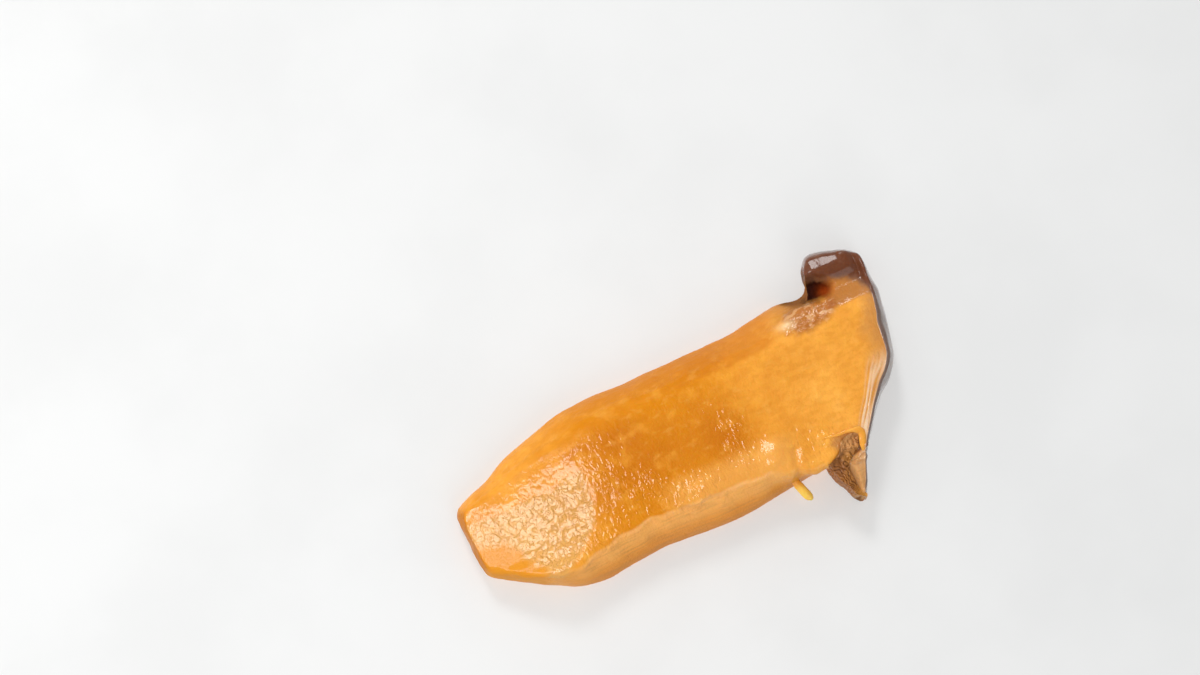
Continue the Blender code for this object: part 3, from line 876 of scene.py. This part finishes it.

# %% [markdown]
# ## Gills and strand
#
# The gills are thin and hold much sauce, so they are brown, and their grooves are painted darker as shade.
# The strand is a thin wisp of stem flesh: light passes through it, so it looks yellower than the rest.

# %% The gill material
def gill_material():
    """Matted, sauce-soaked gills: brown ridges over grooves painted dark as shade, half wet. They are paler
    where they leave the flesh, and amber toward the strip and the tip, where they are thin."""
    material, tree, shader, place = new_material("soaked mushroom gills", {
        "Roughness": 0.5, "Specular IOR Level": 0.25, "Coat Weight": 0.4, "Coat Roughness": 0.15,
        "Coat IOR": 1.35,
    })
    ridge_mask = add(tree, "ShaderNodeAttribute", out=2, attribute_name="ridge")
    down_mask = add(tree, "ShaderNodeAttribute", out=2, attribute_name="down")
    axes = add(tree, "ShaderNodeSeparateXYZ", {"Vector": place}).node.outputs
    bend_x, bend_y = (TO_ROW[:2] + (96.3, -21.0)) / 1000       # where the gills turn into the margin's tip
    above = add(tree, "ShaderNodeMapRange", {"Value": axes[1], "From Min": bend_y,
                                             "From Max": bend_y + 0.002})
    amber = add(tree, "ShaderNodeMapRange", {"Value": axes[0], "From Min": bend_x,
                                             "From Max": bend_x + 0.003})
    tip = add(tree, "ShaderNodeMapRange", {"Value": down_mask, "From Min": 0.75, "From Max": 1.0})
    clouds = grain(tree, place, 3, 0.4, 0.65)
    # The grooves are painted dark as shade.
    groove_shade = add(tree, "ShaderNodeMapRange", {"Value": ridge_mask, "From Min": 0.75, "From Max": 0.2})
    groove_shade = add(tree, "ShaderNodeMath", {0: groove_shade, 1: grain(tree, place, 1.6, 0.35, 0.6)},
                 operation="MULTIPLY")
    colour = layered(tree, "#A4682F", [
        (amber, 0.80, "#C4883E"),
        (clouds, 0.60, "#7A441A"),
        (tip, 0.80, "#C88A34"),
        (groove_shade, 0.75, "#4A2612"),
        (above, 0.65, "#DA9E62"),
    ])
    tree.links.new(colour, shader.inputs["Base Color"])
    fuzz = speckle(tree, place, 0.5)
    bump = add(tree, "ShaderNodeBump", {"Height": fuzz, "Strength": 0.5, "Distance": 0.0003})
    tree.links.new(bump, shader.inputs["Normal"])
    tree.links.new(bump, shader.inputs["Coat Normal"])
    return material


# %% The strand material, and every piece gets its own
def strand_material():
    """A thin torn strand: yellow where light passes through, orange at its root."""
    material, tree, shader, place = new_material("torn mushroom fibre", {
        "Roughness": 0.35, "Coat Weight": 0.5, "Coat Roughness": 0.12, "Coat IOR": 1.35,
        "Subsurface Weight": 0.3, "Subsurface Radius": (1.0, 0.5, 0.15), "Subsurface Scale": 0.002,
    })
    y_axis = add(tree, "ShaderNodeSeparateXYZ", {"Vector": place}, out=1)
    root_y = (TO_ROW[1] - 22.5) / 1000
    root = add(tree, "ShaderNodeMapRange", {"Value": y_axis, "From Min": root_y - 0.0015,
                                            "From Max": root_y + 0.001})
    colour = layered(tree, "#FFCE54", [
        (grain(tree, place, 1.5, 0.4, 0.7), 0.50, "#F0B040"),
        (root, 0.80, "#D07C1C"),
    ])
    tree.links.new(colour, shader.inputs["Base Color"])
    fuzz = speckle(tree, place, 0.556)
    bump = add(tree, "ShaderNodeBump", {"Height": fuzz, "Strength": 0.4, "Distance": 0.0002})
    tree.links.new(bump, shader.inputs["Normal"])
    return material


finishes = ((body, flesh), (lip, flesh), (near_gills, gill_material()), (strand, strand_material()))
for thing, material in finishes:
    thing.data.materials.append(material)
    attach(thing, "root")
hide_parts("mushroom_slice")
print("finished pieces:", [thing.name for thing, material in finishes])

# %% [markdown]
# ## Floor and camera
#
# The slice lies on a plain pale surface. The camera looks almost straight down, from a little on the near
# side, which shows the stem's side. A long lens far away keeps the slice's outline free of perspective.

# %% The floor
def floor_material():
    """Matt pale plaster with faint clouds a few centimetres across."""
    material, tree, shader, place = new_material("pale plaster", {"Roughness": 0.8})
    clouds = grain(tree, place, 60, 0.35, 0.7, detail=5.0)
    colour = layered(tree, "#E6E6E5", [(clouds, 0.5, "#DCDCDB")])
    tree.links.new(colour, shader.inputs["Base Color"])
    return material


FLOOR = 4.0                 # metres from its middle to each side
floor_mesh = bpy.data.meshes.new("floor")
floor_mesh.from_pydata([(-FLOOR, -FLOOR, 0), (FLOOR, -FLOOR, 0), (FLOOR, FLOOR, 0), (-FLOOR, FLOOR, 0)], [],
                       [(0, 1, 2, 3)])
floor = bpy.data.objects.new("floor", floor_mesh)
floor_mesh.materials.append(floor_material())
bpy.context.scene.collection.objects.link(floor)

# %% The camera
VIEW_MIDDLE = Vector((np.array([53.2, 35.1, 2.0]) + TO_ROW) / 1000)
RIGHT = Vector((0.911, -0.413, 0.0))        # the view's right, over the floor
TOWARD_CAMERA = Vector((-0.02, -0.155, 0.987)).normalized()
VIEW_WIDTH, LENS, SENSOR = 0.318, 85.0, 36.0            # metres, then millimetres

camera_data = bpy.data.cameras.new("camera")
camera_data.lens = LENS
camera_data.sensor_width = SENSOR
camera = bpy.data.objects.new("camera", camera_data)
bpy.context.scene.collection.objects.link(camera)
view_up = TOWARD_CAMERA.cross(RIGHT).normalized()
view_right = view_up.cross(TOWARD_CAMERA)
turned = Matrix((view_right, view_up, TOWARD_CAMERA)).transposed()
camera.matrix_world = (Matrix.Translation(VIEW_MIDDLE + TOWARD_CAMERA * VIEW_WIDTH * LENS / SENSOR)
                       @ turned.to_4x4())
bpy.context.scene.camera = camera
print("camera at", [round(c, 3) for c in camera.location])

# %% [markdown]
# ## Light
#
# The slice lies in soft daylight. A wet surface shows its lights as bright patches, so each light stands
# where one face of the slice mirrors it: the left window in the sloping base, the right one in the far
# margin. A weak fill keeps the near side from going dark. The left window casts no shadow, because real
# daylight comes from all over that side of a room. The sky is darker overhead, so that the level cut face,
# which mirrors it, keeps its deep colour.

# %% The lights
LIGHTS = [          # name, the way to it, its distance and size in metres, its watts, and whether it shades
    ("left window", (-0.44, 0.18, 0.88), 1.1, 0.46, 8.2, False),
    ("right window", (0.12, 0.74, 0.66), 1.4, 0.30, 4.2, True),
    ("front fill", (0.10, -0.80, 0.60), 1.4, 0.70, 2.4, True),
]
for name, direction, distance, size, watts, shades in LIGHTS:
    data = bpy.data.lights.new(name, "AREA")
    data.size = size
    data.energy = watts
    data.use_shadow = shades
    light = bpy.data.objects.new(name, data)
    bpy.context.scene.collection.objects.link(light)
    way = Vector(direction).normalized()
    light.location = way * distance
    light.rotation_euler = way.to_track_quat("Z", "Y").to_euler()
print("lights:", len(LIGHTS))

# %% The sky
world = bpy.data.worlds.new("studio")
bpy.context.scene.world = world
world.use_nodes = True
sky_way = add(world.node_tree, "ShaderNodeTexCoord", out=0)
sky_height = add(world.node_tree, "ShaderNodeSeparateXYZ", {"Vector": sky_way}, out=2)
sky = add(world.node_tree, "ShaderNodeMapRange",
          {"Value": sky_height, "From Min": 0.55, "From Max": 0.95, "To Min": 0.56, "To Max": 0.14},
          interpolation_type="SMOOTHSTEP")
background = world.node_tree.nodes["Background"]
background.inputs["Color"].default_value = linear("#F4F6F8")
world.node_tree.links.new(sky, background.inputs["Strength"])
bpy.context.scene.view_settings.view_transform = "Standard"
